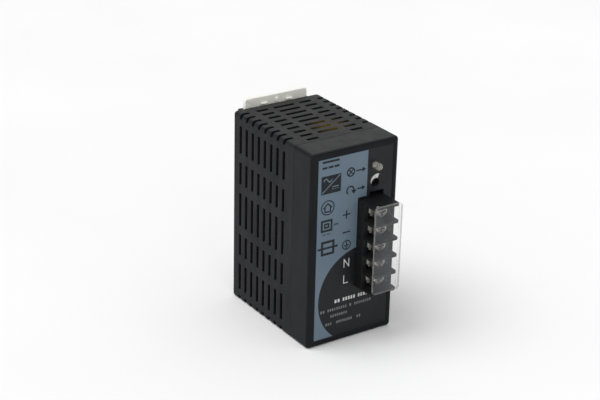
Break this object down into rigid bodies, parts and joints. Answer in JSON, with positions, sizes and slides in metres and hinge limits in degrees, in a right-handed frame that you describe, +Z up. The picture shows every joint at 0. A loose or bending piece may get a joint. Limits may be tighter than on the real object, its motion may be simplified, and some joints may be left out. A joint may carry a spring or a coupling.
{
  "type": "din rail power supply",
  "caption": "Slotted box power supply for a mounting rail, with a hinged clear cover over its screw terminals, a lamp, a trimmer and a sprung rail latch.",
  "frame": {"origin": "middle of the rail seat: on the rail's centre line, in the case's rear face", "axes": "+Z up, -Y out of the front, +Y towards the rail, +X right seen from the front"},
  "size_m": [0.045, 0.0786, 0.0948],
  "materials": {
    "case_plastic": "fine moulded grain",
    "label_film": "printed film, satin",
    "block_plastic": "satin moulded",
    "clear_plastic": "clear moulded",
    "nylon": "natural nylon, satin",
    "spring_steel": "drawn wire",
    "plated_steel": "nickel plated",
    "tinned_brass": "tin plated, stamped",
    "tinned_wire": "tinned",
    "board_laminate": "phenolic laminate",
    "lamp_lens": "clear epoxy",
    "trimmer_plastic": "moulded",
    "brass": "turned",
    "film_box": "moulded box",
    "epoxy_black": "moulded epoxy",
    "epoxy_white": "moulded epoxy",
    "aluminium": "sheet, as rolled",
    "fuse_body": "moulded",
    "capacitor_sleeve": "shrunk sleeve",
    "ferrite": "pressed and fired",
    "disc_blue": "dipped coating",
    "disc_dark": "dipped coating",
    "copper": "enamelled wire",
    "amber_tape": "polyester tape"
  },
  "bodies": {
    "root": {"board_screws": "plated_steel", "bridge_rectifier": "epoxy_black", "bulk_capacitor": "capacitor_sleeve", "controller_chip": "epoxy_black", "diode_heatsink": "aluminium", "filter_coil_front": "copper", "filter_coil_rear": "copper", "filter_core": "ferrite", "front_board": "board_laminate", "front_cover": "case_plastic", "front_label": "label_film", "input_fuse": "fuse_body", "inrush_thermistor": "disc_dark", "latch_spring": "spring_steel", "led_lead_left": "tinned_wire", "led_lead_right": "tinned_wire", "led_lens": "lamp_lens", "main_board": "board_laminate", "optocoupler": "epoxy_white", "output_capacitor_lower": "capacitor_sleeve", "output_capacitor_upper": "capacitor_sleeve", "output_choke": "ferrite", "output_diode": "epoxy_black", "power_switch": "epoxy_black", "rear_shell": "case_plastic", "safety_capacitor": "disc_blue", "snubber_capacitor": "film_box", "surge_varistor": "disc_blue", "switch_heatsink": "aluminium", "terminal_block": "block_plastic", "terminal_contact_1": "tinned_brass", "terminal_contact_2": "tinned_brass", "terminal_contact_3": "tinned_brass", "terminal_contact_4": "tinned_brass", "terminal_contact_5": "tinned_brass", "transformer_bobbin": "block_plastic", "transformer_core_far": "ferrite", "transformer_core_near": "ferrite", "transformer_tape": "amber_tape", "transformer_winding": "copper", "trimmer_body": "trimmer_plastic", "x_capacitor": "film_box"},
    "clip": {"rail_latch": "nylon"},
    "lid": {"terminal_cover": "clear_plastic"},
    "adjuster": {"trimmer_rotor": "brass"},
    "clamp_1": {"clamp_washer_1": "plated_steel"},
    "screw_1": {"terminal_screw_1": "plated_steel"},
    "clamp_2": {"clamp_washer_2": "plated_steel"},
    "screw_2": {"terminal_screw_2": "plated_steel"},
    "clamp_3": {"clamp_washer_3": "plated_steel"},
    "screw_3": {"terminal_screw_3": "plated_steel"},
    "clamp_4": {"clamp_washer_4": "plated_steel"},
    "screw_4": {"terminal_screw_4": "plated_steel"},
    "clamp_5": {"clamp_washer_5": "plated_steel"},
    "screw_5": {"terminal_screw_5": "plated_steel"}
  },
  "joints": [
    {"name": "latch_slide", "type": "slide", "parent": "root", "child": "clip", "axis": [0, 0, 1], "range_m": [0, 0.0032], "stiffness_N_per_m": 900, "springref_m": -0.003, "deforming": ["latch_spring"]},
    {"name": "cover_hinge", "type": "hinge", "parent": "root", "child": "lid", "pos_m": [0.0144, -0.0711, -0.00045], "axis": [0, 0, 1], "range_deg": [0, 100]},
    {"name": "trimmer_turn", "type": "hinge", "parent": "root", "child": "adjuster", "pos_m": [0.0108, -0.0577, 0.02635], "axis": [0, -1, 0], "range_deg": [-135, 135]},
    {"name": "clamp_1_slide", "type": "slide", "parent": "root", "child": "clamp_1", "axis": [0, -1, 0], "range_m": [-0.00065, 0.0018]},
    {"name": "screw_1_turn", "type": "hinge", "parent": "clamp_1", "child": "screw_1", "pos_m": [0.0098, -0.0667, 0.01555], "axis": [0, -1, 0], "range_deg": [-470, 1300]},
    {"name": "clamp_2_slide", "type": "slide", "parent": "root", "child": "clamp_2", "axis": [0, -1, 0], "range_m": [-0.00065, 0.0018]},
    {"name": "screw_2_turn", "type": "hinge", "parent": "clamp_2", "child": "screw_2", "pos_m": [0.0098, -0.0667, 0.00755], "axis": [0, -1, 0], "range_deg": [-470, 1300]},
    {"name": "clamp_3_slide", "type": "slide", "parent": "root", "child": "clamp_3", "axis": [0, -1, 0], "range_m": [-0.00065, 0.0018]},
    {"name": "screw_3_turn", "type": "hinge", "parent": "clamp_3", "child": "screw_3", "pos_m": [0.0098, -0.0667, -0.00045], "axis": [0, -1, 0], "range_deg": [-470, 1300]},
    {"name": "clamp_4_slide", "type": "slide", "parent": "root", "child": "clamp_4", "axis": [0, -1, 0], "range_m": [-0.00065, 0.0018]},
    {"name": "screw_4_turn", "type": "hinge", "parent": "clamp_4", "child": "screw_4", "pos_m": [0.0098, -0.0667, -0.00845], "axis": [0, -1, 0], "range_deg": [-470, 1300]},
    {"name": "clamp_5_slide", "type": "slide", "parent": "root", "child": "clamp_5", "axis": [0, -1, 0], "range_m": [-0.00065, 0.0018]},
    {"name": "screw_5_turn", "type": "hinge", "parent": "clamp_5", "child": "screw_5", "pos_m": [0.0098, -0.0667, -0.01645], "axis": [0, -1, 0], "range_deg": [-470, 1300]}
  ],
  "couplings": [
    {"joint": "screw_1_turn", "follows": "clamp_1_slide", "rad_per_m": 12566},
    {"joint": "screw_2_turn", "follows": "clamp_2_slide", "rad_per_m": 12566},
    {"joint": "screw_3_turn", "follows": "clamp_3_slide", "rad_per_m": 12566},
    {"joint": "screw_4_turn", "follows": "clamp_4_slide", "rad_per_m": 12566},
    {"joint": "screw_5_turn", "follows": "clamp_5_slide", "rad_per_m": 12566}
  ]
}
